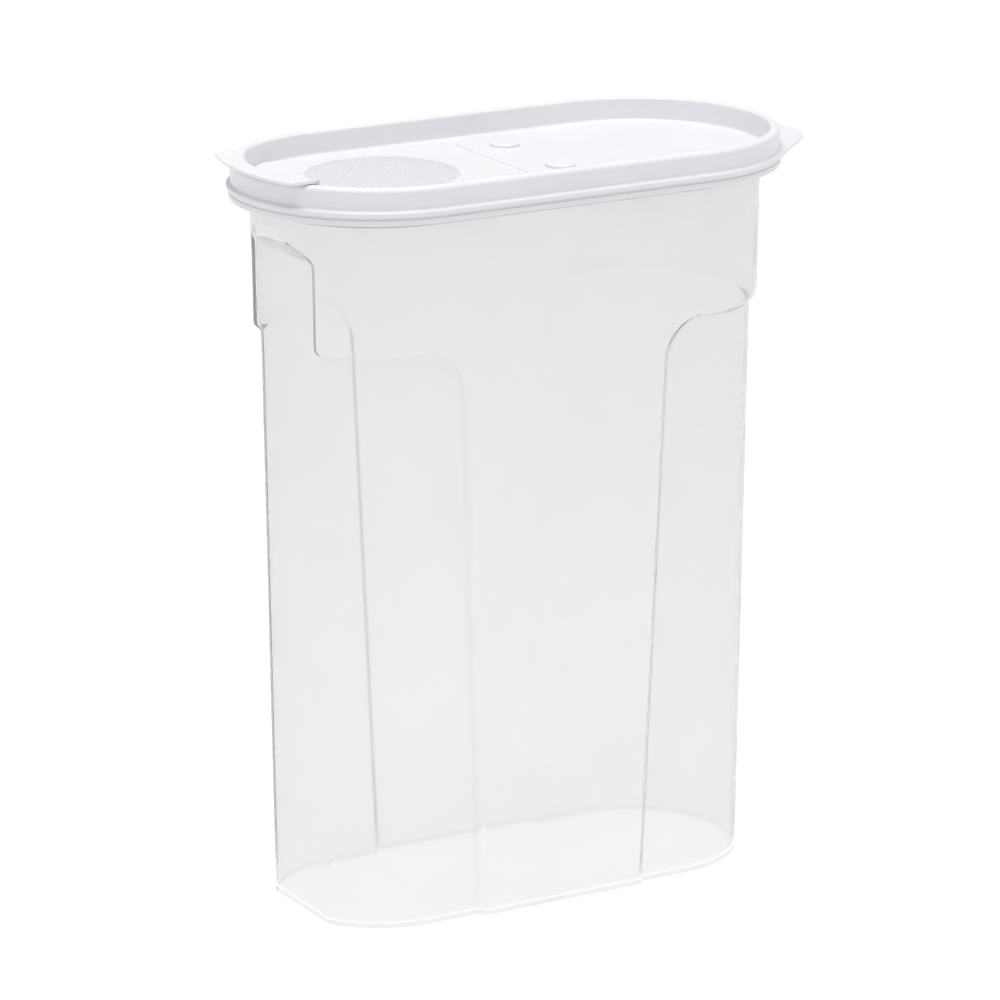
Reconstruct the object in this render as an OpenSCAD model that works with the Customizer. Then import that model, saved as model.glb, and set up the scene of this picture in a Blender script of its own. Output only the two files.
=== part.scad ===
// Dry-food dispenser: a tall translucent container, a press-on lid and a flip-up pour flap.
// +Z is up, the origin is the middle of the base, and the flap's pull lip points to -X.
// Every outline in plan is a racetrack: two half circles joined by straight sides. Radii below
// are half widths of that racetrack, and end_x is where its half circles have their centres.

/* [Container] */
// Distance from the middle to the centre of each half-round end
end_x = 59; // [52:0.5:66]
// Half width of the container at its base
base_r = 44.6; // [43:0.2:46]
// Half width of the container just under the lid
shoulder_r = 48.5; // [47.5:0.1:49]
// Thickness of the container's wall
wall = 1.6; // [1.2:0.1:2]
// How far the two grip recesses are set in
grip_depth = 2.9; // [2:0.1:4]
// Height of the ledge over the grip recesses
ledge_z = 232; // [200:1:240]
// Half width of the proud panels between the grips, at the base
panel_base_x = 36.7; // [30:0.1:42]
// Half width of the proud panels where their rounded corners start
panel_top_x = 45; // [38:0.5:48]

/* [End panel] */
// Half width of the flat panel on the pouring end
flat_half_w = 24; // [20:0.5:25]
// Distance of the flat panel from the middle, at the base
flat_x = 94.2; // [93:0.1:96]
// Height of the flat panel's top edge
flat_top_z = 277; // [262:1:279]

/* [Lid] */
// Height of the top of the lid's rim
rim_top_z = 300; // [280:1:320]
// Depth of the lid's skirt below the top of the rim
skirt_drop = 14.5; // [13.8:0.1:16]
// Half width of the lip that runs round the lid
ridge_r = 57.6; // [57.2:0.1:59]
// Half width of the recessed panel inside the rim
recess_r = 50.6; // [50.2:0.1:51.2]
// Depth of the recessed panel below the rim
recess_depth = 9.2; // [8:0.1:10]
// Thickness of the lid's panel
lid_t = 1.6; // [1.2:0.1:2]
// Radius of the round pour opening
pour_r = 30.5; // [26:0.5:31]
// Farthest point of the lid's pull tab from the middle
tab_x = 133; // [126:0.5:136]

/* [Flap] */
// Thickness of the flap
flap_t = 1.6; // [1.2:0.1:2]
// Half width of the flap and of its hinge plate
flap_half_w = 42; // [38:0.5:44]
// Position of the fold line along X
fold_x = -5; // [-8:0.5:-2]
// Half width of the pull lip
lip_half_w = 31; // [26:0.5:36]
// Radius of the textured disc over the pour opening
disc_r = 32.5; // [31.5:0.5:34]
// Radius of the heads of the two fixing studs
stud_head_r = 6; // [5:0.5:7]

/* [Hidden] */
$fn = 96;
clear_gap = 0.3;        // gap between parts that move past each other
over = 1;               // how far a cutter runs past the face that it cuts
big = 400;              // longer than any side of the dispenser
slope = (shoulder_r - base_r) / (rim_top_z - 15);

// Container
floor_t = 2.2;
foot_round = 2;         // rounding of the container's bottom edge
ledge_h = 5;            // height of the sloping ledge
corner_r = 17;          // rounding of the proud panels' upper corners
shoulder_h = 10;        // height of the sloping shoulder at the top of the flat panel
shoulder_run = 9.5;     // how far that shoulder comes out
flat_step = 1;          // how far the flat panel comes out above the ledges
arch_r = 14;            // rounding of the flat panel's upper corners
flange_r = 53.6;        // half width of the container's rim flange
flange_h = 3;
flange_root_h = 2.5;    // height of the cone that carries the flange

// Lid
panel_z = rim_top_z - recess_depth;
lid_under_z = panel_z - lid_t;
container_top_z = lid_under_z - 0.4;
ridge_z = rim_top_z - 10;
ridge_round = 1.1;
wall_foot_r = 56.3;     // foot of the lid's outer wall
skirt_r = 56.8;
skirt_t = 1.6;
skirt_band_h = 2.2;     // plain band at the bottom of the skirt
crest_r = 54.4;         // middle of the rounded rim
crest_round = 1.8;      // radius of the rounded rim
plug_r = 46.2;          // outside of the ring that plugs the container's mouth
plug_t = 1.6;
plug_depth = 6.5;
tab_t = 1.5;
tab_tip_round = 21.7;   // radius of the tab's rounded tip

// Flap and hinge plate
pour_x = -56;           // centre of the pour opening and of the disc above it
flap_z = panel_z + clear_gap;
flap_top_z = flap_z + flap_t;
flap_end_r = recess_r - 0.7;
lip_t = 1.5;
lip_z = rim_top_z + clear_gap;
lip_x = 118;            // the lip's front edge, from the middle
lip_bow_r = 90;         // the front edge bows outwards on this radius
lip_corner_r = 8;
seal_r = pour_r - 0.6;  // ring under the flap that enters the pour opening
seal_t = 1.4;
seal_depth = 2.8;
disc_h = 0.4;
fold_corner_r = 14;     // plan corners at both sides of the fold
plate_x = 27.5;         // far edge of the hinge plate
plate_corner_r = 6;
plate_bow_r = 200;      // the far edge bows outwards on this radius
stud_x = 11;
stud_y = 21.5;
stud_r = 3;
stud_hole_r = 3.05;
stud_head_h = 1.3;
barb = 0.7;             // how far the stud's snap head stands out under the lid

// Half width of the container's outer wall at a height
function wall_r(z) = base_r + slope * z;

// Points of a circular arc in a profile, from angle a to angle b
function arc(x, y, r, a, b, steps = 8) =
    [for (i = [0:steps]) [x + r * cos(a + (b - a) * i / steps), y + r * sin(a + (b - a) * i / steps)]];

// Solid racetrack from a profile of [half width, height] that starts and ends on the axis
module racetrack_solid(profile) {
    for (side = [-1, 1]) translate([side * end_x, 0, 0]) rotate_extrude() polygon(profile);
    for (turn = [0, 180]) rotate([0, 0, turn])
        rotate([90, 0, 90]) linear_extrude(2 * end_x, center = true) polygon(profile);
}

// Hollow racetrack from a closed profile that stays clear of the axis
module racetrack_ring(profile) {
    for (turn = [0, 180]) rotate([0, 0, turn]) {
        translate([end_x, 0, 0]) rotate([0, 0, -90]) rotate_extrude(angle = 180) polygon(profile);
        rotate([90, 0, 90]) linear_extrude(2 * end_x, center = true) polygon(profile);
    }
}

// Rectangle in plan with rounded corners
module rounded_plan(x0, x1, half_w, r) {
    translate([x0 + r, -half_w]) square([x1 - x0 - 2 * r, 2 * half_w]);
    translate([x0, r - half_w]) square([x1 - x0, 2 * (half_w - r)]);
    for (x = [x0 + r, x1 - r]) for (y = [r - half_w, half_w - r]) translate([x, y]) circle(r);
}

// Front view of the area where the wall stands proud of the grip recesses, grown by t
module proud_view(t) {
    x0 = panel_base_x + t;
    x1 = panel_top_x + t;
    x2 = x1 + corner_r;
    z1 = ledge_z - corner_r;
    difference() {
        polygon([[-x0, -over], [x0, -over], [x2, z1], [x2, ledge_z], [-x2, ledge_z], [-x2, z1]]);
        for (side = [-1, 1]) {
            translate([side * x2, z1 - t]) circle(corner_r);
            polygon([[side * x0, -2 * over], [side * x1, z1 - t], [side * x2, z1 - t], [side * big, -2 * over]]);
        }
    }
}

// Space in front of the flat end panel, which ends in a sloping shoulder
module flat_panel_space(t) {
    low_z = flat_top_z - shoulder_h;
    low_x = flat_x + flat_step + slope * low_z - t;
    step_low = ledge_z - ledge_h / 2;
    step_high = ledge_z + ledge_h / 2;
    half_w = flat_half_w + t;
    top_z = flat_top_z + t;
    intersection() {
        rotate([90, 0, 0]) linear_extrude(big, center = true) polygon([[-big, -over], [t - flat_x, -over],
            [t - flat_x - slope * step_low, step_low], [t - flat_x - slope * step_high - flat_step, step_high],
            [-low_x, low_z], [-low_x - shoulder_run, top_z], [-big, top_z]]);
        rotate([90, 0, 90]) linear_extrude(big, center = true) union() {
            translate([-half_w, -2 * over]) square([2 * half_w, top_z - arch_r + 2 * over]);
            translate([arch_r - half_w, -2 * over]) square([2 * (half_w - arch_r), top_z + 2 * over]);
            for (side = [-1, 1]) translate([side * (half_w - arch_r), top_z - arch_r]) circle(arch_r);
        }
    }
}

// Shape of the container, set in by t, with its lowest point at z0
module container_form(t, z0) {
    top_z = container_top_z + (t > 0 ? over : 0);
    r0 = wall_r(z0) - t;
    ledge_low = ledge_z - ledge_h / 2;
    ledge_high = ledge_z + ledge_h / 2;
    difference() {
        union() {
            racetrack_solid(concat([[0, z0]],
                arc(r0 - grip_depth - foot_round, z0 + foot_round, foot_round, -90, 0),
                [[wall_r(ledge_low) - grip_depth - t, ledge_low], [wall_r(ledge_high) - t, ledge_high],
                [wall_r(top_z) - t, top_z], [0, top_z]]));
            intersection() {
                racetrack_solid(concat([[0, z0]], arc(r0 - foot_round, z0 + foot_round, foot_round, -90, 0),
                    [[wall_r(ledge_z) - t, ledge_z], [0, ledge_z]]));
                rotate([90, 0, 0]) linear_extrude(big, center = true) proud_view(-t);
            }
        }
        flat_panel_space(t);
    }
}

module container() {
    flange_z = container_top_z - flange_h;
    root_z = flange_z - flange_root_h;
    color([0.93, 0.94, 0.94, 0.55]) difference() {
        union() {
            container_form(0, 0);
            racetrack_solid([[0, root_z], [wall_r(root_z), root_z], [flange_r, flange_z],
                [flange_r, container_top_z], [0, container_top_z]]);
        }
        container_form(wall, floor_t);
    }
}

// Rim, outer wall, lip, skirt and plug ring of the lid in one profile
module lid_ring() {
    skirt_z = rim_top_z - skirt_drop;
    racetrack_ring(concat(
        [[plug_r - plug_t, lid_under_z - plug_depth], [plug_r, lid_under_z - plug_depth],
        [plug_r, lid_under_z], [skirt_r - skirt_t, lid_under_z], [skirt_r - skirt_t, skirt_z],
        [skirt_r, skirt_z], [skirt_r, skirt_z + skirt_band_h], [wall_foot_r - 0.4, skirt_z + skirt_band_h + 0.5],
        [wall_foot_r - 0.4, ridge_z - ridge_round]],
        arc(ridge_r - ridge_round, ridge_z, ridge_round, -80, 80),
        [[wall_foot_r, ridge_z + 1.4]],
        arc(crest_r, rim_top_z - crest_round, crest_round, 5, 175),
        [[recess_r, panel_z], [plug_r - plug_t, panel_z]]));
}

// Pull tab that stands out of the lid's lip at the end away from the flap: a round tip, and straight
// sides that run back to the lip along its tangents
module lid_tab() {
    tip_x = tab_x - tab_tip_round;
    root_r = ridge_r - 1.2;
    lean = acos((root_r - tab_tip_round) / (tip_x - end_x));
    root = [end_x + root_r * cos(lean), root_r * sin(lean)];
    tip = [tip_x + tab_tip_round * cos(lean), tab_tip_round * sin(lean)];
    translate([0, 0, ridge_z - tab_t / 2]) linear_extrude(tab_t) difference() {
        union() {
            translate([tip_x, 0]) circle(tab_tip_round);
            polygon([[root[0], -root[1]], [tip[0], -tip[1]], tip, root]);
        }
        translate([end_x, 0]) circle(wall_foot_r - over);
    }
}

module lid() {
    color([0.96, 0.97, 0.98]) difference() {
        union() {
            lid_ring();
            racetrack_solid([[0, lid_under_z], [plug_r, lid_under_z], [plug_r, panel_z], [0, panel_z]]);
            lid_tab();
        }
        translate([pour_x, 0, lid_under_z - over]) cylinder(h = lid_t + 2 * over, r = pour_r);
        for (side = [-1, 1]) translate([stud_x, side * stud_y, lid_under_z - over])
            cylinder(h = lid_t + 2 * over, r = stud_hole_r);
    }
}

// End wall that climbs the inside of the rim, and the pull lip that lies over the rim
module flap_lip() {
    wall_top_r = crest_r - crest_round - 0.7;
    lip_r = lip_x - end_x + 2;
    intersection() {
        translate([-end_x, 0, 0]) rotate_extrude() polygon([[flap_end_r - flap_t, flap_z], [flap_end_r, flap_z],
            [wall_top_r, lip_z], [lip_r, lip_z], [lip_r, lip_z + lip_t], [wall_top_r - flap_t, lip_z + lip_t]]);
        translate([0, 0, flap_z]) linear_extrude(lip_z + lip_t - flap_z) intersection() {
            rounded_plan(-lip_x, -end_x - 15, lip_half_w, lip_corner_r);
            translate([lip_bow_r - lip_x, 0]) circle(lip_bow_r);
        }
    }
}

module flap() {
    color([0.95, 0.95, 0.96, 0.8]) union() {
        translate([0, 0, flap_z]) linear_extrude(flap_t) intersection() {
            union() {
                translate([-end_x, 0]) circle(flap_end_r);
                translate([-end_x, -flap_end_r]) square([end_x + fold_x, 2 * flap_end_r]);
            }
            rounded_plan(-130, fold_x - clear_gap / 2, flap_half_w, fold_corner_r);
        }
        translate([pour_x, 0, flap_z]) cylinder(h = flap_t + disc_h, r = disc_r);
        translate([pour_x, 0, flap_z - seal_depth]) difference() {
            cylinder(h = seal_depth + flap_t / 2, r = seal_r);
            translate([0, 0, -over]) cylinder(h = seal_depth + 2 * over, r = seal_r - seal_t);
        }
        flap_lip();
    }
}

// One snap stud: a flat round head above the plate, a shank, and a barb under the lid
module stud() {
    tip_z = lid_under_z - 2.4;
    head_z = flap_top_z + stud_head_h;
    rotate_extrude() polygon([[0, tip_z], [stud_r - 0.6, tip_z], [stud_r + barb, lid_under_z - 0.9],
        [stud_r + barb, lid_under_z - 0.1], [stud_r, lid_under_z - 0.1], [stud_r, flap_z],
        [stud_head_r, flap_z], [stud_head_r, head_z - 0.8], [stud_head_r - 0.8, head_z], [0, head_z]]);
}

module hinge_plate() {
    x0 = fold_x + clear_gap / 2;
    color([0.94, 0.94, 0.95, 0.85]) union() {
        translate([0, 0, flap_z]) linear_extrude(flap_t) intersection() {
            rounded_plan(x0, plate_x + 40, flap_half_w, fold_corner_r);
            rounded_plan(x0 - 40, plate_x, flap_half_w, plate_corner_r);
            translate([plate_x - plate_bow_r, 0]) circle(plate_bow_r);
        }
        for (side = [-1, 1]) translate([stud_x, side * stud_y, 0]) stud();
    }
}

container();
lid();
flap();
hinge_plate();
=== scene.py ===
"""Cereal dispenser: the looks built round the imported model.

The object's shapes are worked out in millimetres, in the model's own frame, and turned into metres when a
mesh is made. The floor, the light and the camera are in metres.
In plan most outlines are a racetrack: two half circles with centres at +-END_X, joined by straight sides.
"""

import math

import bmesh
import bpy
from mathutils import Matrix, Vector


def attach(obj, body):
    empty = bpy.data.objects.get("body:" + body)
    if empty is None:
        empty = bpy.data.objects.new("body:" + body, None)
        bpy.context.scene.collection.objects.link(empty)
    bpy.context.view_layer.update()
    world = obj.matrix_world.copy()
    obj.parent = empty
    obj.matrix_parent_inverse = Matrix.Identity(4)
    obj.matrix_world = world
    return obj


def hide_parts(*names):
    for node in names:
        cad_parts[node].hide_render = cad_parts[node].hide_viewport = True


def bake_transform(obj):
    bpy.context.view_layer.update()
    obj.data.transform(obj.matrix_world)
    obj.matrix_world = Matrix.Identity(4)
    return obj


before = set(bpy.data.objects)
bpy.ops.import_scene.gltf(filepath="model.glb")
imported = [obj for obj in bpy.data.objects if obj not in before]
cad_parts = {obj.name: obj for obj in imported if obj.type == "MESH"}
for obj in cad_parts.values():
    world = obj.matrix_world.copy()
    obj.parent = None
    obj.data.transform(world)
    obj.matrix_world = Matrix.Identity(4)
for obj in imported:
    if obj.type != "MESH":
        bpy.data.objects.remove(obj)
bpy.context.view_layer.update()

MM = 0.001

# Camera
CAMERA_AT = (-1.05644, -1.81678, 0.75799)
CAMERA_AIM = (-0.00276, 0.00160, 0.15440)
LENS_MM = 198.6
SENSOR_MM = 36

# Studio
FLOOR_REACH = 14.0
FLOOR_GLOW = 1.04
SKY_STRENGTH = 0.67
SOFTBOX_POWER = 25

# Container
END_X = 59.0
BASE_R = 44.6
SHOULDER_R = 48.5
SHOULDER_Z = 285.0
SLOPE = (SHOULDER_R - BASE_R) / SHOULDER_Z  # the wall leans out by this much for each mm of height
WALL = 1.6
FLOOR_T = 2.2
FOOT_ROUND = 0.9
GRIP_DEPTH = 2.9
LEDGE_Z = 232.0
LEDGE_RUN = 3.2  # height of the slope at the ledge
EDGE_RUN = 3.0  # width of the slope at a recess's side edge
PANEL_BASE_X = 36.7
PANEL_TOP_X = 45.0
CORNER_R = 17.0
FLAT_HALF_W = 24.0
FLAT_X = 94.2
FLAT_TOP_Z = 277.0
SHOULDER_H = 10.0
SHOULDER_RUN = 9.5
FLAT_STEP = 1.0
ARCH_R = 14.0
ARCH_RUN = 4.0  # width of the slope round the flat panel
CREASE_SOFT = 0.4  # how gently the flat panel meets the wall
FLANGE_R = 53.6
FLANGE_H = 3.0
FLANGE_ROOT_H = 2.5
FIRST_RING_Z = 4.5  # the wall's lowest ring above the floor
CONTAINER_TOP_Z = 288.8

# Lid
RIM_TOP_Z = 300.0
PANEL_Z = 290.8
LID_UNDER_Z = 289.2
RIDGE_Z = 290.0
RIDGE_R = 57.6
SKIRT_Z = 285.5
SKIRT_R = 56.8
SKIRT_IN_R = 55.2
SKIRT_BAND_Z = 287.8
RECESS_FOOT_R = 50.5
RIM_IN_R = 52.3
RIM_OUT_R = 56.4
RIM_FOOT_R = 55.9
GROOVE_R = 56.4
RIDGE_HALF = 1.1  # half the lip's thickness
TAB_HALF = 0.75  # half the pull tab's thickness
TAB_THIN_RUN = 5.0  # how far the lip takes to thin down to the tab
TAB_X = 133.0
TAB_TIP_R = 21.7
PLUG_Z = 282.7
PLUG_R = 46.2
PLUG_TIP_R = 46.0
PLUG_IN_R = 44.6
POUR_X = -56.0
POUR_R = 30.5

# Flap and hinge plate
FLAP_Z = 291.1
FLAP_TOP_Z = 292.7
FLAP_HALF_W = 42.0
FLAP_END_R = 49.9
FOLD_X = -5.0
FOLD_CORNER_R = 14.0
LIP_Z = 300.3
LIP_TOP_Z = 301.8
LIP_X = 118.0
LIP_BOW_R = 90.0
LIP_HALF_W = 31.0
LIP_CORNER_R = 8.0
LIP_WALL_R = 51.9
DISC_R = 32.5
DISC_H = 0.4
HATCH_PITCH = 2.3
HATCH_H = 0.5
HATCH_R = DISC_R - 2.2
SEAL_R = 29.9
SEAL_T = 1.4
SEAL_DEPTH = 2.8
PLATE_X = 27.5
PLATE_CORNER_R = 6.0
PLATE_BOW_R = 200.0
STUD_X = 11.0
STUD_Y = 21.5
STUD_R = 3.0
STUD_HOLE_R = 3.05
STUD_HEAD_R = 6.0
STUD_HEAD_H = 1.3
STUD_CORE_R = 0.4  # the flat left in the middle of a stud's two ends
BARB_REACH = 0.7
BARB_H = 2.4
GAP = 0.3  # between the flap and the hinge plate, at the fold
WEB_T = 0.45  # thickness of the living hinge


# Curves in a plane


def arc(x, y, r, a, b, steps):
    """Points of a circular arc from angle a to angle b, in degrees."""
    turn = [math.radians(a + (b - a) * i / steps) for i in range(steps + 1)]
    return [(x + r * math.cos(t), y + r * math.sin(t)) for t in turn]


def rounded(corners, steps):
    """Open polyline through (x, y, radius) corners, with each corner rounded by its own radius."""
    out = []
    count = len(corners)
    for i, (x, y, r) in enumerate(corners):
        if r == 0 or i in (0, count - 1):
            out.append((x, y))
            continue
        p = Vector((x, y))
        before = Vector(corners[i - 1][:2]) - p
        after = Vector(corners[i + 1][:2]) - p
        half = before.angle(after) / 2
        cut = min(r / math.tan(half), 0.49 * before.length, 0.49 * after.length)
        u, v = before.normalized(), after.normalized()
        centre = p + (u + v).normalized() * (cut / math.cos(half))
        start, end = p + u * cut - centre, p + v * cut - centre
        turn = start.angle(end) * (1 if start.cross(end) > 0 else -1)
        for k in range(steps + 1):
            c, s = math.cos(turn * k / steps), math.sin(turn * k / steps)
            out.append((centre.x + start.x * c - start.y * s, centre.y + start.x * s + start.y * c))
    return out


def resampled(line, count):
    """The same polyline with a given number of points, evenly spaced along it."""
    far = [0.0]
    for a, b in zip(line, line[1:]):
        far.append(far[-1] + math.dist(a, b))
    out, k = [], 0
    for i in range(count):
        want = far[-1] * i / (count - 1)
        while k < len(line) - 2 and far[k + 1] < want:
            k += 1
        t = (want - far[k]) / max(far[k + 1] - far[k], 1e-9)
        out.append(tuple(a + (b - a) * t for a, b in zip(line[k], line[k + 1])))
    return out


def smooth(t):
    """0 below 0, 1 above 1, and an S curve between."""
    t = min(max(t, 0.0), 1.0)
    return t * t * (3 - 2 * t)


def ramp(t, soft=0.22):
    """0 below 0, 1 above 1, and a straight slope between with rounded ends."""
    t = min(max(t, 0.0), 1.0)
    slope = 1 / (1 - soft)
    if t < soft:
        return slope * t * t / (2 * soft)
    if t > 1 - soft:
        return 1 - slope * (1 - t) ** 2 / (2 * soft)
    return slope * (t - soft / 2)


def stations(end_steps, side_steps):
    """Places round a racetrack as (centre x, outward x, outward y), anticlockwise from -Y at the +X end."""
    out = []
    for side in (1, -1):
        for i in range(end_steps + 1):
            t = math.radians(-90 + 180 * i / end_steps)
            out.append((side * END_X, side * math.cos(t), side * math.sin(t)))
        for i in range(1, side_steps):
            out.append((side * END_X * (1 - 2 * i / side_steps), 0.0, float(side)))
    return out


# Meshes


def add_rings(bm, rings, closed=True):
    """Quads between rings that have the same number of points. Returns the two end rings' vertices."""
    made = [[bm.verts.new(p) for p in ring] for ring in rings]
    for low, high in zip(made, made[1:]):
        for i in range(len(low) if closed else len(low) - 1):
            j = (i + 1) % len(low)
            bm.faces.new((low[i], low[j], high[j], high[i]))
    return made[0], made[-1]


def fill(bm, *loops):
    """Flat face inside the first loop of vertices and outside the others."""
    edges = []
    for loop in loops:
        for a, b in zip(loop, loop[1:] + loop[:1]):
            edges.append(bm.edges.get((a, b)) or bm.edges.new((a, b)))
    bmesh.ops.triangle_fill(bm, use_beauty=True, use_dissolve=False, edges=edges)


def circle(x, y, z, r, count):
    """Points of a level circle."""
    return [(px, py, z) for px, py in arc(x, y, r, 0, 360, count)[:-1]]


def piece(name, bm, body, materials, sharp=32):
    """Turns a bmesh in millimetres into a smooth-shaded piece that rides on a body, if one is named."""
    bmesh.ops.recalc_face_normals(bm, faces=bm.faces)
    bmesh.ops.scale(bm, vec=(MM, MM, MM), verts=bm.verts)
    mesh = bpy.data.meshes.new(name)
    bm.to_mesh(mesh)
    bm.free()
    mesh.shade_smooth()
    mesh.set_sharp_from_angle(angle=math.radians(sharp))
    for m in materials:
        mesh.materials.append(m)
    obj = bpy.data.objects.new(name, mesh)
    bpy.context.scene.collection.objects.link(obj)
    weighted = obj.modifiers.new("even normals", "WEIGHTED_NORMAL")
    weighted.keep_sharp = True
    if body:
        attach(obj, body)
    return obj


# Container


def wall_r(z):
    return BASE_R + SLOPE * z


def panel_edge(z):
    """Half width of the proud panel at a height, below its rounded corner."""
    return PANEL_BASE_X + (PANEL_TOP_X - PANEL_BASE_X) * min(max(z, 0) / (LEDGE_Z - CORNER_R), 1)


def recess(x, z):
    """How far into the grip recess a point of the front view is: 0 on the proud wall, 1 in the recess."""
    low, far = LEDGE_Z - CORNER_R, PANEL_TOP_X + CORNER_R
    x = abs(x)
    if x < far and z <= low:
        gap, run = panel_edge(z) - x, EDGE_RUN
    elif x < far:
        gap = math.hypot(x - far, z - low) - CORNER_R
        turned = math.atan2(z - low, far - x) / (math.pi / 2)
        run = EDGE_RUN + (LEDGE_RUN - EDGE_RUN) * turned**2
    else:
        gap, run = z - LEDGE_Z, LEDGE_RUN
    return ramp(0.5 - gap / run)


def arch(y, z):
    """Share of the flat end panel in a point of the end view: 1 inside its arched outline, 0 outside."""
    y = abs(y)
    corner_y, corner_z = FLAT_HALF_W - ARCH_R, FLAT_TOP_Z - ARCH_R
    if y > corner_y and z > corner_z:
        gap = math.hypot(y - corner_y, z - corner_z) - ARCH_R
    else:
        gap = max(y - FLAT_HALF_W, z - FLAT_TOP_Z)
    return smooth(0.5 - gap / ARCH_RUN)


def flat_plane(z):
    """Distance of the flat end panel, with its sloping shoulder, from the middle."""
    low = FLAT_TOP_Z - SHOULDER_H
    bend = max(z - low, 0) / SHOULDER_H
    step = FLAT_STEP * ramp(0.5 + (z - LEDGE_Z) / LEDGE_RUN)
    return FLAT_X + SLOPE * min(z, low) + step + SHOULDER_RUN * bend


def outer_r(station, z):
    """Half width of the container's outside at a place round it and a height."""
    cx, dx, dy = station
    r = wall_r(z)
    r -= GRIP_DEPTH * recess(cx + r * dx, z)
    if dx < -0.3 and z < FLAT_TOP_Z + 4:
        plane = (flat_plane(z) - END_X) / -dx
        over = r - plane
        cut = (over + math.hypot(over, CREASE_SOFT)) / 2
        r -= cut * arch((r + plane) / 2 * dy, z)
    return r


def half_side(z):
    """Places along half a straight side, packed round the proud panel's edge."""
    edge, near = panel_edge(z), 2.8
    out = [part * (edge - near) for part in (0, 0.3, 0.6, 0.85)]
    out += [edge + near * i / 6 for i in range(-6, 7)]
    start = edge + near
    return out + [start + (END_X - start) * (i + 1) / 15 for i in range(15)]


def flat_edge_turn(z):
    """Angle from -X, in degrees, of the flat end panel's side edge at a height."""
    plane = flat_plane(min(z, FLAT_TOP_Z - SHOULDER_H)) - END_X
    in_recess = math.degrees(math.acos(plane / (wall_r(z) - GRIP_DEPTH)))
    above = math.degrees(math.asin(FLAT_HALF_W / wall_r(z)))
    return in_recess + (above - in_recess) * smooth(0.5 + (z - LEDGE_Z) / LEDGE_RUN)


def container_stations(z):
    """Places round the container at a height, packed round the panel edges and the flat panel's arch."""
    edge = flat_edge_turn(z)
    left = [edge * i / 38 for i in range(37)] + [edge + d for d in (-0.8, -0.3, 0, 0.3, 0.8, 1.4, 2.1, 3)]
    left += [edge + 3 + (88 - edge - 3) * (i + 1) / 24 for i in range(24)]
    left = [-a for a in reversed(left[1:])] + left
    half = half_side(z)
    side = list(reversed(half)) + [-x for x in half[1:]]
    out = [(END_X, math.cos(t), math.sin(t)) for t in (math.radians(-87.75 + 2.25 * i) for i in range(79))]
    out += [(x, 0.0, 1.0) for x in side]
    out += [(-END_X, -math.cos(t), math.sin(t)) for t in (math.radians(-a) for a in left)]
    out += [(-x, 0.0, -1.0) for x in side]
    return out


def container_ring(z, inset, at=None):
    """One ring of the container's skin, set in from the outside.

    Its outline is the container's at its own height, or at another one if that is given.
    """
    ring = []
    for s in container_stations(z):
        r = outer_r(s, z if at is None else at) - inset
        ring.append((s[0] + r * s[1], r * s[2], z))
    return ring


def even_ring(z, r):
    return [(s[0] + r * s[1], r * s[2], z) for s in container_stations(z)]


def container_heights():
    """Heights of the wall's rings, packed where the wall steps."""
    out = [FLOOR_T, FIRST_RING_Z] + [8.0 * i for i in range(1, 27)]
    out += [213 + 0.8 * i for i in range(30)]
    out += [240.0, 243.5, 247.0]
    out += [248 + 0.9 * i for i in range(30)]
    return out + [277.0, 279.5]


def foot_rings(floor_z, inset):
    """Rings up the rounded foot of the wall, from the floor."""
    out = []
    for turn in range(0, 91, 18):
        t = math.radians(turn)
        z = floor_z + FOOT_ROUND * (1 - math.cos(t))
        out.append(container_ring(z, inset + FOOT_ROUND * (1 - math.sin(t)), floor_z + FOOT_ROUND))
    return out


def make_container(material, painted_light_base_material, painted_shade_foot_material):
    root_z = CONTAINER_TOP_Z - FLANGE_H - FLANGE_ROOT_H
    inner_top = wall_r(CONTAINER_TOP_Z) - WALL
    flange = rounded(
        [(wall_r(root_z - 2), root_z - 2, 0), (wall_r(root_z), root_z, 0.6),
         (FLANGE_R, CONTAINER_TOP_Z - FLANGE_H, 0.4), (FLANGE_R, CONTAINER_TOP_Z, 0.6),
         (inner_top, CONTAINER_TOP_Z, 0.6), (inner_top - SLOPE * 6, CONTAINER_TOP_Z - 6, 0)],
        steps=3,
    )
    margin = 0.6  # a narrow flat band that keeps the foot's rounding off the wide floor faces
    outside = [container_ring(0, FOOT_ROUND + margin, FOOT_ROUND)] + foot_rings(0, 0)
    outside += [container_ring(z, 0) for z in container_heights()]
    inside = [container_ring(z, WALL) for z in reversed(container_heights()) if z > FLOOR_T + FOOT_ROUND + 1]
    inside += list(reversed(foot_rings(FLOOR_T, WALL)))
    inside.append(container_ring(FLOOR_T, WALL + FOOT_ROUND + margin, FLOOR_T + FOOT_ROUND))
    bm = bmesh.new()
    first, last = add_rings(bm, outside + [even_ring(z, r) for r, z in flange] + inside)
    bm.faces.new(first)
    bm.faces.new(last)
    # painted light and shade: the floor's faces take the lighter base plastic, and the foot's upright faces
    # take the darker foot plastic
    for face in bm.faces:
        heights = [v.co.z for v in face.verts]
        low, high = min(heights), max(heights)
        if high < FLOOR_T + FOOT_ROUND + 0.1:
            upright = high - low > 0.01 and low < FLOOR_T - 0.1
            face.material_index = 2 if upright else 1
    skins = [material, painted_light_base_material, painted_shade_foot_material]
    obj = piece("container_shell", bm, "container_body", skins)
    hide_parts("container")
    return obj


# Lid


def tab_reach(turn):
    """How far the lip and the pull tab reach from the +X end's centre, at an angle from +X.

    The tab's outline is the lip's circle and a smaller one at its tip, joined by their common tangents.
    """
    turn, far = abs(turn), TAB_X - TAB_TIP_R - END_X
    leave = math.acos((RIDGE_R - TAB_TIP_R) / far)
    meet = math.atan2(TAB_TIP_R * math.sin(leave), far + TAB_TIP_R * math.cos(leave))
    if turn >= leave:
        return RIDGE_R
    if turn >= meet:
        return RIDGE_R / math.cos(turn - leave)
    along = far * math.cos(turn)
    return along + math.sqrt(along**2 - far**2 + TAB_TIP_R**2)


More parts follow.
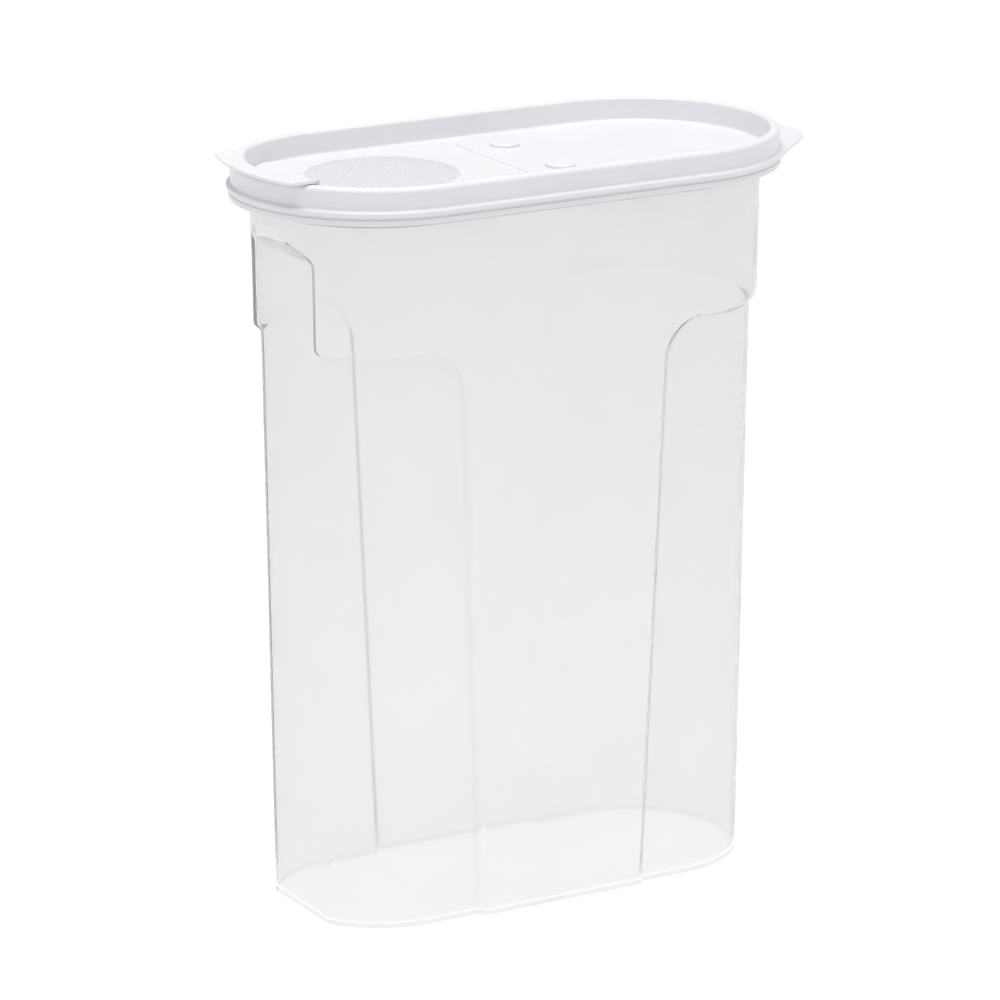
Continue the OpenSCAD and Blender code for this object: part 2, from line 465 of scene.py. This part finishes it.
def lid_section(reach):
    """The lid's ring in section, from the panel's top outwards and round to the panel's underside."""
    out = min((reach - RIDGE_R) / TAB_THIN_RUN, 1)
    half = RIDGE_HALF + (TAB_HALF - RIDGE_HALF) * out
    low, high, edge = RIDGE_Z - half, RIDGE_Z + half, 0.95 * half
    return rounded(
        [(RECESS_FOOT_R - 3, PANEL_Z, 0), (RECESS_FOOT_R, PANEL_Z, 1.3),
         (RIM_IN_R, RIM_TOP_Z, 1.3), (RIM_OUT_R, RIM_TOP_Z, 3.1),
         (RIM_FOOT_R, high, 0.7), (reach, high, edge), (reach, low, edge),
         (GROOVE_R, low, 0.2), (GROOVE_R, SKIRT_BAND_Z + 0.3, 0.2),
         (SKIRT_R, SKIRT_BAND_Z, 0.3), (SKIRT_R, SKIRT_Z, 0.45),
         (SKIRT_IN_R, SKIRT_Z, 0.45), (SKIRT_IN_R, LID_UNDER_Z, 0.6),
         (PLUG_R, LID_UNDER_Z, 0.5), (PLUG_TIP_R, PLUG_Z, 0.5),
         (PLUG_IN_R, PLUG_Z, 0.4), (PLUG_IN_R, LID_UNDER_Z, 0.8), (PLUG_IN_R - 2.1, LID_UNDER_Z, 0)],
        steps=6,
    )


def make_lid(material):
    rows = []
    for s in stations(96, 16):
        reach = tab_reach(math.atan2(s[2], s[1])) if s[0] > END_X - 0.1 else RIDGE_R
        rows.append([(s[0] + r * s[1], r * s[2], z) for r, z in lid_section(reach)])
    bm = bmesh.new()
    top, under = add_rings(bm, [list(ring) for ring in zip(*rows)])
    holes = [(POUR_X, 0, POUR_R, 128)] + [(STUD_X, y, STUD_HOLE_R, 40) for y in (-STUD_Y, STUD_Y)]
    top_loops, under_loops = [top], [under]
    soft = 0.35  # how far the pour opening's edges are broken
    for x, y, r, count in holes:
        path = [(r, PANEL_Z), (r, LID_UNDER_Z)]
        if r == POUR_R:
            path = [(r + soft, PANEL_Z), (r + soft * 0.3, PANEL_Z - soft * 0.3), (r, PANEL_Z - soft),
                    (r, LID_UNDER_Z + soft), (r + soft * 0.3, LID_UNDER_Z + soft * 0.3),
                    (r + soft, LID_UNDER_Z)]
        a, b = add_rings(bm, [circle(x, y, z, rr, count) for rr, z in path])
        top_loops.append(a)
        under_loops.append(b)
    fill(bm, *top_loops)
    fill(bm, *under_loops)
    obj = piece("lid_moulding", bm, "lid_body", [material])
    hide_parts("lid")
    return obj


# Flap and hinge plate


def lip_reach(turn):
    """How far the pull lip reaches from the -X end's centre, at an angle from -X."""
    dx, dy = math.cos(turn), abs(math.sin(turn))
    front = LIP_X - END_X
    back = LIP_BOW_R - front
    reach = math.sqrt(LIP_BOW_R**2 - (back * dy) ** 2) - back * dx
    reach = min(reach, LIP_HALF_W / max(dy, 1e-6))
    corner = Vector((front - LIP_CORNER_R, LIP_HALF_W - LIP_CORNER_R))
    if dy * reach > corner.y and dx * reach > corner.x:
        along = dx * corner.x + dy * corner.y
        under = along**2 - corner.length_squared + LIP_CORNER_R**2
        if under > 0:
            reach = min(reach, along + math.sqrt(under))
    return reach


def lip_section(reach):
    """Section of the flap's edge where it climbs the rim and runs out into the beaded pull lip."""
    inner = LIP_WALL_R - 1.6
    low = LIP_TOP_Z - 0.4
    bead = min(3.2, 0.4 * (reach - inner))
    return rounded(
        [(FLAP_END_R - 4, FLAP_TOP_Z, 0), (FLAP_END_R - 1.6, FLAP_TOP_Z, 1.2), (inner, low, 1.4),
         (reach - bead, low, 0.3), (reach - 0.85 * bead, LIP_TOP_Z, 0.3),
         (reach, LIP_TOP_Z, 0.6), (reach, LIP_Z, 0.4),
         (LIP_WALL_R, LIP_Z, 0.3), (FLAP_END_R, FLAP_Z, 0.3), (FLAP_END_R - 4, FLAP_Z, 0)],
        steps=6,
    )


LIP_ROWS = len(lip_section(LIP_X - END_X))


def edge_section(r):
    """Section of a plain edge of the flap or hinge plate, as (distance, height)."""
    line = rounded(
        [(r - 4, FLAP_TOP_Z, 0), (r, FLAP_TOP_Z, 0.55), (r, FLAP_Z, 0.3), (r - 4, FLAP_Z, 0)], steps=6
    )
    return resampled(line, LIP_ROWS)


def flap_rows():
    """Sections all round the flap's outline, each as a list of points."""
    rows = []
    cut = math.degrees(math.asin(LIP_HALF_W / (LIP_WALL_R + 0.2)))
    side = math.degrees(math.asin(FLAP_HALF_W / FLAP_END_R))
    inside = [cut * i / 34 for i in range(35)]
    outside = [cut + 0.15] + [cut + (side - cut) * i / 8 for i in range(1, 9)]
    turns = inside + outside
    turns = [-a for a in reversed(turns[1:])] + turns
    for turn in turns:
        t = math.radians(turn)
        section = lip_section(lip_reach(t)) if abs(turn) <= cut + 1e-6 else edge_section(FLAP_END_R)
        rows.append([(-END_X - r * math.cos(t), r * math.sin(t), z) for r, z in section])
    start = -END_X - FLAP_END_R * math.cos(math.radians(side))
    corner_x = FOLD_X - GAP / 2 - FOLD_CORNER_R
    for x in [start + (corner_x - start) * i / 8 for i in range(1, 8)]:
        rows.append([(x, FLAP_HALF_W + d, z) for d, z in edge_section(0)])
    rows += corner_rows(corner_x, FLAP_HALF_W - FOLD_CORNER_R, FOLD_CORNER_R, 90, 0)
    rows += corner_rows(corner_x, FOLD_CORNER_R - FLAP_HALF_W, FOLD_CORNER_R, 0, -90)
    for x in [corner_x + (start - corner_x) * i / 8 for i in range(1, 8)]:
        rows.append([(x, -FLAP_HALF_W - d, z) for d, z in edge_section(0)])
    return rows


def corner_rows(x, y, r, a, b, steps=16):
    """Sections round a plan corner, from angle a to angle b."""
    out = []
    for i in range(steps + 1):
        t = math.radians(a + (b - a) * i / steps)
        out.append([(x + d * math.cos(t), y + d * math.sin(t), z) for d, z in edge_section(r)])
    return out


def hatched_disc(bm, z):
    """Disc top covered with small diamond points, inside a plain border. Returns its outer edges."""
    pitch, height, edge = HATCH_PITCH, HATCH_H, HATCH_R
    count = int(edge / pitch) + 2
    verts = {}

    def vert(i, j):
        # i and j count half pitches, and odd-odd places are the points' tops
        if (i, j) not in verts:
            x, y = (i + j) * pitch / 2 / math.sqrt(2), (i - j) * pitch / 2 / math.sqrt(2)
            far = math.hypot(x, y)
            top = height if i % 2 and j % 2 and far < edge - pitch / 2 else 0.0
            if far > edge:
                x, y = x * edge / far, y * edge / far
            verts[(i, j)] = bm.verts.new((POUR_X + x, y, z + top))
        return verts[(i, j)]

    used = []
    for i in range(-2 * count, 2 * count, 2):
        for j in range(-2 * count, 2 * count, 2):
            x, y = (i + j + 2) * pitch / 2 / math.sqrt(2), (i - j) * pitch / 2 / math.sqrt(2)
            if math.hypot(x, y) < edge - pitch * 0.1:
                corners = [vert(i, j), vert(i + 2, j), vert(i + 2, j + 2), vert(i, j + 2)]
                top = vert(i + 1, j + 1)
                for a, b in zip(corners, corners[1:] + corners[:1]):
                    used.append(bm.faces.new((a, b, top)))
                    # the diamond points take the darker disc plastic, which is painted shade
                    used[-1].material_index = 1
    # dict.fromkeys drops repeats and keeps the order, so that every run makes the same mesh
    return [e for e in dict.fromkeys(e for f in used for e in f.edges) if e.is_boundary]


def disc_top(bm):
    """The raised disc over the pour opening. Returns the loop where it meets the flap's top."""
    top = FLAP_TOP_Z + DISC_H
    path = [(DISC_R + 0.5, FLAP_TOP_Z), (DISC_R, FLAP_TOP_Z + 0.15), (DISC_R - 0.1, top - 0.1),
            (DISC_R - 0.4, top), (DISC_R - 1.2, top)]
    outer, inner = add_rings(bm, [circle(POUR_X, 0, z, r, 120) for r, z in path])
    rim = hatched_disc(bm, top)
    edges = rim + [bm.edges.get((a, b)) for a, b in zip(inner, inner[1:] + inner[:1])]
    bmesh.ops.triangle_fill(bm, use_beauty=True, use_dissolve=False, edges=edges)
    return outer


def seal_ring(bm):
    """The ring under the flap. Returns the loops where its outside and its inside meet the flap."""
    low = FLAP_Z - SEAL_DEPTH
    inner = SEAL_R - SEAL_T
    path = rounded([(SEAL_R, FLAP_Z, 0), (SEAL_R, low, 0.5), (inner, low, 0.5), (inner, FLAP_Z, 0)], steps=3)
    return add_rings(bm, [circle(POUR_X, 0, z, r, 120) for r, z in path])


def make_flap(material, painted_shade_disc_material):
    bm = bmesh.new()
    top, under = add_rings(bm, [list(ring) for ring in zip(*flap_rows())])
    fill(bm, top, disc_top(bm))
    outside, inside = seal_ring(bm)
    fill(bm, under, outside)
    fill(bm, inside)
    obj = piece("flap_moulding", bm, "flap_body", [material, painted_shade_disc_material])
    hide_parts("flap")
    return obj


def stud_rings(y):
    """The head of one snap stud, from the middle of its top down to where it meets the plate's top."""
    head = FLAP_TOP_Z + STUD_HEAD_H
    path = rounded(
        [(STUD_CORE_R, head, 0), (STUD_HEAD_R, head, 0.8), (STUD_HEAD_R, FLAP_TOP_Z, 0.3),
         (STUD_HEAD_R + 0.6, FLAP_TOP_Z, 0)],
        steps=5,
    )
    return [circle(STUD_X, y, z, r, 64) for r, z in path]


def shank_rings(y):
    """The stud's shank below the plate, with its snap barb."""
    barb, top, tip = STUD_R + BARB_REACH, LID_UNDER_Z - 0.1, LID_UNDER_Z - BARB_H
    path = rounded(
        [(STUD_R + 0.3, FLAP_Z, 0), (STUD_R, FLAP_Z, 0.1), (STUD_R, top, 0), (barb, top, 0.15),
         (barb, LID_UNDER_Z - 0.9, 0.2), (STUD_R - 0.6, tip, 0.3), (STUD_CORE_R, tip, 0)],
        steps=3,
    )
    return [circle(STUD_X, y, z, r, 64) for r, z in path]


def plate_rows():
    """Sections all round the hinge plate's outline."""
    x0, w = FOLD_X + GAP / 2, FLAP_HALF_W
    rows = corner_rows(x0 + FOLD_CORNER_R, FOLD_CORNER_R - w, FOLD_CORNER_R, 270, 180)
    rows += corner_rows(x0 + FOLD_CORNER_R, w - FOLD_CORNER_R, FOLD_CORNER_R, 180, 90)
    # the bowed far edge meets the sides at a small angle, and its corners are rounded
    side_y = w - PLATE_CORNER_R
    bow_x = PLATE_X - PLATE_BOW_R
    half = math.degrees(math.asin(side_y / (PLATE_BOW_R - PLATE_CORNER_R)))
    corner_x = bow_x + (PLATE_BOW_R - PLATE_CORNER_R) * math.cos(math.radians(half))
    rows += corner_rows(corner_x, side_y, PLATE_CORNER_R, 90, half, 8)
    rows += corner_rows(bow_x, 0, PLATE_BOW_R, half, -half, 24)[1:-1]
    rows += corner_rows(corner_x, -side_y, PLATE_CORNER_R, -half, -90, 8)
    return rows


def make_hinge_plate(material):
    bm = bmesh.new()
    top, under = add_rings(bm, [list(ring) for ring in zip(*plate_rows())])
    tops, unders = [top], [under]
    for y in (-STUD_Y, STUD_Y):
        cap, foot = add_rings(bm, stud_rings(y))
        bm.faces.new(cap)
        tops.append(foot)
        root, tip = add_rings(bm, shank_rings(y))
        bm.faces.new(tip)
        unders.append(root)
    fill(bm, *tops)
    fill(bm, *unders)
    obj = piece("hinge_plate_moulding", bm, "lid_body", [material])
    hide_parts("hinge_plate")
    return obj


def make_hinge_web(material):
    """The thin living hinge that joins the hinge plate to the flap."""
    half, top, low = FLAP_HALF_W - FOLD_CORNER_R, FLAP_TOP_Z, FLAP_TOP_Z - WEB_T
    reach = GAP / 2 + 0.02
    xs = [FOLD_X - reach + 2 * reach * i / 6 for i in range(7)]
    rings = []
    for x in xs:
        rings.append([(x, -half, low), (x, half, low), (x, half, top), (x, -half, top)])
    bm = bmesh.new()
    first, last = add_rings(bm, rings)
    bm.faces.new(first)
    bm.faces.new(last)
    web = piece("hinge_web", bm, None, [material], sharp=40)
    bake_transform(web)
    return web


# Materials


def shader(name):
    """A new node material with its tree and its Principled node."""
    material = bpy.data.materials.new(name)
    material.use_nodes = True
    tree = material.node_tree
    return material, tree, tree.nodes["Principled BSDF"]


def noise(tree, scale, detail):
    """A noise texture in the piece's own frame. Scale is in waves a metre."""
    where = tree.nodes.new("ShaderNodeTexCoord")
    texture = tree.nodes.new("ShaderNodeTexNoise")
    texture.inputs["Scale"].default_value = scale
    texture.inputs["Detail"].default_value = detail
    tree.links.new(where.outputs["Object"], texture.inputs["Vector"])
    return texture.outputs["Fac"]


def spread(tree, value, low, high, start=0.3, stop=0.7):
    """Maps a noise value to a range."""
    node = tree.nodes.new("ShaderNodeMapRange")
    node.inputs["From Min"].default_value = start
    node.inputs["From Max"].default_value = stop
    node.inputs["To Min"].default_value = low
    node.inputs["To Max"].default_value = high
    tree.links.new(value, node.inputs["Value"])
    return node.outputs["Result"]


def tint(tree, value, low, high):
    """Mixes two colours by a noise value."""
    node = tree.nodes.new("ShaderNodeMix")
    node.data_type = "RGBA"
    node.inputs["A"].default_value = (*low, 1)
    node.inputs["B"].default_value = (*high, 1)
    tree.links.new(spread(tree, value, 0, 1), node.inputs["Factor"])
    return node.outputs["Result"]


def bumps(tree, layers):
    """Chains bump nodes, given as (height, strength, distance), and returns the last normal."""
    normal = None
    for height, strength, distance in layers:
        node = tree.nodes.new("ShaderNodeBump")
        node.inputs["Strength"].default_value = strength
        node.inputs["Distance"].default_value = distance
        tree.links.new(height, node.inputs["Height"])
        if normal:
            tree.links.new(normal, node.inputs["Normal"])
        normal = node.outputs["Normal"]
    return normal


def by_height(tree, low, high):
    """Runs from 0 at one height of the piece's own frame to 1 at another, in metres."""
    where = tree.nodes.new("ShaderNodeTexCoord")
    split = tree.nodes.new("ShaderNodeSeparateXYZ")
    tree.links.new(where.outputs["Object"], split.inputs["Vector"])
    return spread(tree, split.outputs["Z"], 0, 1, low, high)


def blended(tree, share, first, second):
    """Mixes two colour sockets by a share."""
    node = tree.nodes.new("ShaderNodeMix")
    node.data_type = "RGBA"
    tree.links.new(share, node.inputs["Factor"])
    tree.links.new(first, node.inputs["A"])
    tree.links.new(second, node.inputs["B"])
    return node.outputs["Result"]


def clear_plastic(name, milk, low, high, rough, top=None, ior=1.49):
    """Moulded polypropylene that shows what is behind it. milk is the share that scatters light.

    low and high are the colours that it varies between, and top darkens them towards the mouth: painted
    shade, standing in for the shade that the lid casts into the container's upper part.
    """
    material, tree, skin = shader(name)
    broad, fine = noise(tree, 28, 3), noise(tree, 420, 0)
    link = tree.links.new
    colour = tint(tree, broad, low, high)
    # painted shade: top scales the colours down towards the mouth, where the lid shades the container
    if top:
        painted_lid_shade = tint(tree, broad, [top * c for c in low], [top * c for c in high])
        colour = blended(tree, by_height(tree, 0.03, 0.28), colour, painted_lid_shade)
    link(colour, skin.inputs["Base Color"])
    link(spread(tree, noise(tree, 70, 3), rough - 0.02, rough + 0.03), skin.inputs["Roughness"])
    link(bumps(tree, [(broad, 0.12, 0.0008), (fine, 0.03, 0.00005)]), skin.inputs["Normal"])
    skin.inputs["Transmission Weight"].default_value = 1 - milk
    skin.inputs["IOR"].default_value = ior
    return material


def white_plastic(name):
    """Opaque white moulding with a soft gloss."""
    material, tree, skin = shader(name)
    link = tree.links.new
    broad, fine = noise(tree, 35, 3), noise(tree, 420, 0)
    link(tint(tree, broad, (0.715, 0.722, 0.742), (0.735, 0.742, 0.76)), skin.inputs["Base Color"])
    link(spread(tree, noise(tree, 60, 2), 0.3, 0.34), skin.inputs["Roughness"])
    link(bumps(tree, [(broad, 0.05, 0.0004), (fine, 0.03, 0.00003)]), skin.inputs["Normal"])
    skin.inputs["IOR"].default_value = 1.5
    return material


# Studio


def make_floor():
    bm = bmesh.new()
    reach = FLOOR_REACH
    grid = [[(-reach + 2 * reach * i / 8, -reach + 2 * reach * j / 8, 0) for i in range(9)] for j in range(9)]
    add_rings(bm, grid, closed=False)
    bmesh.ops.recalc_face_normals(bm, faces=bm.faces)
    mesh = bpy.data.meshes.new("studio_floor")
    bm.to_mesh(mesh)
    bm.free()
    material, tree, skin = shader("pale floor")
    colour = tint(tree, noise(tree, 3, 2), (0.09, 0.09, 0.09), (0.1, 0.1, 0.1))
    tree.links.new(colour, skin.inputs["Base Color"])
    tree.links.new(spread(tree, noise(tree, 8, 3), 0.75, 0.85), skin.inputs["Roughness"])
    skin.inputs["Specular IOR Level"].default_value = 0.0
    skin.inputs["Emission Color"].default_value = (1, 1, 1, 1)
    skin.inputs["Emission Strength"].default_value = FLOOR_GLOW
    mesh.materials.append(material)
    floor = bpy.data.objects.new("studio_floor", mesh)
    floor.location.z = -0.0005
    bpy.context.scene.collection.objects.link(floor)


def area_light(name, place, aim, size, power):
    data = bpy.data.lights.new(name, "AREA")
    data.shape = "RECTANGLE"
    data.size, data.size_y = size
    data.energy = power
    light = bpy.data.objects.new(name, data)
    light.location = place
    light.rotation_euler = (Vector(aim) - Vector(place)).to_track_quat("-Z", "Y").to_euler()
    bpy.context.scene.collection.objects.link(light)
    return light


def make_studio():
    world = bpy.data.worlds.new("studio")
    bpy.context.scene.world = world
    world.use_nodes = True
    sky = world.node_tree.nodes["Background"]
    sky.inputs["Color"].default_value = (0.97, 0.98, 1.0, 1)
    sky.inputs["Strength"].default_value = SKY_STRENGTH
    area_light("top_softbox", (-0.12, -0.22, 2.0), (0, 0, 0.2), (1.2, 1.2), SOFTBOX_POWER)
    bpy.context.scene.view_settings.view_transform = "Standard"


def make_camera():
    data = bpy.data.cameras.new("camera")
    data.lens, data.sensor_width = LENS_MM, SENSOR_MM
    data.clip_start, data.clip_end = 0.01, 100
    camera = bpy.data.objects.new("camera", data)
    place, aim = Vector(CAMERA_AT), Vector(CAMERA_AIM)
    camera.location = place
    camera.rotation_euler = (aim - place).to_track_quat("-Z", "Y").to_euler()
    bpy.context.scene.collection.objects.link(camera)
    bpy.context.scene.camera = camera


make_camera()
make_studio()
make_floor()
# top=0.96 paints shade into the body plastic towards the mouth, under the lid
body_plastic = clear_plastic(
    "frosted polypropylene", 0.15, (0.942, 0.947, 0.945), (0.954, 0.959, 0.957), 0.14, top=0.96, ior=1.14
)
# painted light: the floor faces get a lighter, barely refracting copy of the body plastic, so that the bottom
# reads brighter
painted_light_base_plastic = clear_plastic("base plastic with painted light", 0.05, (0.955, 0.96, 0.958), (0.97, 0.975, 0.973), 0.1, ior=1.02)
# painted shade: the foot's upright faces get a darker copy of the plastic, standing in for the dark line
# along the rounded foot
painted_shade_foot_plastic = clear_plastic("foot edge with painted shade", 0.15, (0.76, 0.766, 0.763), (0.78, 0.786, 0.783), 0.1, ior=1.02)
flap_plastic = clear_plastic(
    "milky polypropylene", 0.82, (0.87, 0.873, 0.888), (0.885, 0.888, 0.9), 0.25, ior=1.4
)
# painted shade: the disc's diamond points get a darker copy of the flap plastic, standing in for the shade
# over the pour opening below
painted_shade_disc_plastic = clear_plastic("textured polypropylene with painted shade", 0.7, (0.8, 0.805, 0.82), (0.82, 0.825, 0.84), 0.25)
lid_plastic = white_plastic("white polyethylene")
make_container(body_plastic, painted_light_base_plastic, painted_shade_foot_plastic)
make_lid(lid_plastic)
make_flap(flap_plastic, painted_shade_disc_plastic)
make_hinge_plate(flap_plastic)
make_hinge_web(flap_plastic)
